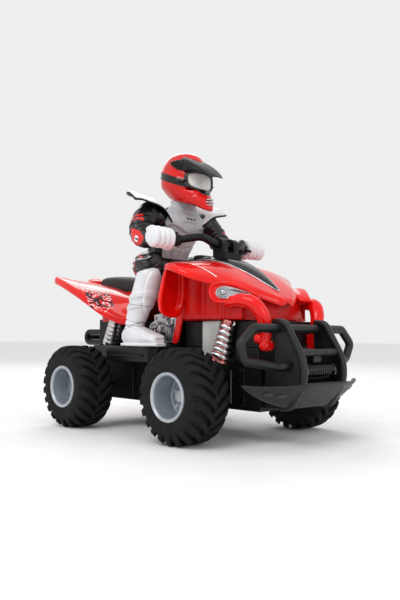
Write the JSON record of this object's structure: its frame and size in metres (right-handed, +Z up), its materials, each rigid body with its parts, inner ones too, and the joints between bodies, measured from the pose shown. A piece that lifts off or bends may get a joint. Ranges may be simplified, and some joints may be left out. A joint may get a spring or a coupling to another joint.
{
  "type": "radio-controlled toy quad bike",
  "caption": "Radio-controlled toy quad bike with a seated helmeted rider: steerable front wheels, geared rear axle, tubular front guard, and a rider whose head and arms move.",
  "frame": {"origin": "on the ground, midway between the two axles and midway between the wheels; this is the middle of the overall length and width", "axes": "+X forwards, the way the vehicle drives; +Y to the rider's left; +Z up"},
  "size_m": [0.188, 0.1088, 0.1546],
  "materials": {
    "tyre_rubber": "soft rubber tread, matte",
    "rim_grey": "light grey moulded plastic, satin",
    "black_plastic": "black moulded plastic, satin",
    "red_plastic": "bright red moulded plastic, glossy",
    "helmet_red": "red moulded plastic, glossy",
    "gloss_black": "black moulded plastic, glossy",
    "seat_vinyl": "black moulded plastic with a leather grain",
    "lens": "off-white moulded lens, glossy",
    "silver_plastic": "silver-painted plastic",
    "chrome_spring": "bright plated plastic coil",
    "gear_nylon": "natural nylon",
    "steel": "zinc-plated steel",
    "battery": "printed cell jacket, satin",
    "board": "green circuit board",
    "jersey_black": "black moulded plastic with painted stripes",
    "armour_white": "white moulded plastic, satin"
  },
  "bodies": {
    "chassis": {"chassis_tub": "black_plastic", "chassis_deck": "black_plastic", "front_tower": "black_plastic", "rear_tower": "black_plastic", "battery_cells": "battery", "circuit_board": "board", "drive_motor": "steel", "axle_bushes": "gear_nylon", "steering_servo": "black_plastic", "kingpins": "steel", "bumper_guard": "black_plastic", "bumper_rails": "black_plastic", "winch_drum": "black_plastic", "front_fairing": "red_plastic", "rear_fairing": "red_plastic", "seat": "seat_vinyl", "hood_cover": "gloss_black", "headlights": "silver_plastic", "front_shocks": "chrome_spring", "rear_shocks": "chrome_spring", "side_plates": "silver_plastic", "drive_chains": "silver_plastic", "engine_covers": "silver_plastic", "grab_bar": "black_plastic", "handlebar": "black_plastic", "handlebar_riser": "black_plastic", "rider_torso": "jersey_black", "chest_protector": "armour_white", "rider_legs": "jersey_black", "boots": "armour_white", "chassis_screws": "steel"},
    "door": {"battery_door": "black_plastic", "door_screw": "steel"},
    "switch": {"power_switch": "black_plastic"},
    "rear_wheels": {"rear_axle": "steel", "axle_gear": "gear_nylon", "rim_rear_left": "rim_grey", "rim_rear_right": "rim_grey", "tyre_rear_left": "tyre_rubber", "tyre_rear_right": "tyre_rubber"},
    "reduction": {"reduction_gear": "gear_nylon"},
    "pinion": {"motor_pinion": "gear_nylon"},
    "steer_left": {"knuckle_left": "black_plastic", "front_axle_left": "steel"},
    "steer_right": {"knuckle_right": "black_plastic", "front_axle_right": "steel"},
    "wheel_front_left": {"rim_front_left": "rim_grey", "tyre_front_left": "tyre_rubber"},
    "wheel_front_right": {"rim_front_right": "rim_grey", "tyre_front_right": "tyre_rubber"},
    "tie_rod": {"tie_rod": "black_plastic"},
    "servo_arm": {"servo_arm": "black_plastic"},
    "head": {"helmet": "helmet_red", "helmet_peak": "gloss_black", "goggles": "gloss_black", "goggle_lens": "lens"},
    "arm_left": {"sleeve_left": "jersey_black", "glove_left": "armour_white"},
    "arm_right": {"sleeve_right": "jersey_black", "glove_right": "armour_white"}
  },
  "joints": [
    {"name": "steer_left", "type": "hinge", "parent": "chassis", "child": "steer_left", "pos_m": [0.044, 0.028, 0.0225], "axis": [0, 0, 1], "range_deg": [-22, 22]},
    {"name": "steer_right", "type": "hinge", "parent": "chassis", "child": "steer_right", "pos_m": [0.044, -0.028, 0.0225], "axis": [0, 0, 1], "range_deg": [-22, 22]},
    {"name": "servo_turn", "type": "hinge", "parent": "chassis", "child": "servo_arm", "pos_m": [0.028, 0, 0.0225], "axis": [0, 0, 1], "range_deg": [-22, 22]},
    {"name": "tie_rod_slide", "type": "slide", "parent": "chassis", "child": "tie_rod", "axis": [0, 1, 0], "range_m": [-0.0031, 0.0031]},
    {"name": "front_left_spin", "type": "hinge", "parent": "steer_left", "child": "wheel_front_left", "pos_m": [0.044, 0.0437, 0.0225], "axis": [0, 1, 0], "continuous": true},
    {"name": "front_right_spin", "type": "hinge", "parent": "steer_right", "child": "wheel_front_right", "pos_m": [0.044, -0.0437, 0.0225], "axis": [0, 1, 0], "continuous": true},
    {"name": "rear_spin", "type": "hinge", "parent": "chassis", "child": "rear_wheels", "pos_m": [-0.044, 0, 0.0225], "axis": [0, 1, 0], "continuous": true},
    {"name": "reduction_spin", "type": "hinge", "parent": "chassis", "child": "reduction", "pos_m": [-0.0378, 0.018, 0.02771], "axis": [0, 1, 0], "continuous": true},
    {"name": "pinion_spin", "type": "hinge", "parent": "chassis", "child": "pinion", "pos_m": [-0.0319, 0.015, 0.03266], "axis": [0, 1, 0], "continuous": true},
    {"name": "head_turn", "type": "hinge", "parent": "chassis", "child": "head", "pos_m": [-0.0065, 0, 0.13], "axis": [0, 0, 1], "range_deg": [-30, 30]},
    {"name": "arm_left_lift", "type": "hinge", "parent": "chassis", "child": "arm_left", "pos_m": [-0.009, 0.0225, 0.1185], "axis": [0, -1, 0], "range_deg": [0, 60]},
    {"name": "arm_right_lift", "type": "hinge", "parent": "chassis", "child": "arm_right", "pos_m": [-0.009, -0.0225, 0.1185], "axis": [0, -1, 0], "range_deg": [0, 60]},
    {"name": "door_open", "type": "hinge", "parent": "chassis", "child": "door", "pos_m": [0.0129, 0, 0.0155], "axis": [0, -1, 0], "range_deg": [0, 80]},
    {"name": "switch_slide", "type": "slide", "parent": "chassis", "child": "switch", "axis": [0, 1, 0], "range_m": [0, 0.0042]}
  ],
  "couplings": [
    {"joint": "steer_right", "follows": "steer_left", "ratio": 1},
    {"joint": "servo_turn", "follows": "steer_left", "ratio": -1},
    {"joint": "tie_rod_slide", "follows": "steer_left", "m_per_rad": -0.0078049},
    {"joint": "reduction_spin", "follows": "rear_spin", "ratio": -2.3333},
    {"joint": "pinion_spin", "follows": "rear_spin", "ratio": 6.5333}
  ]
}
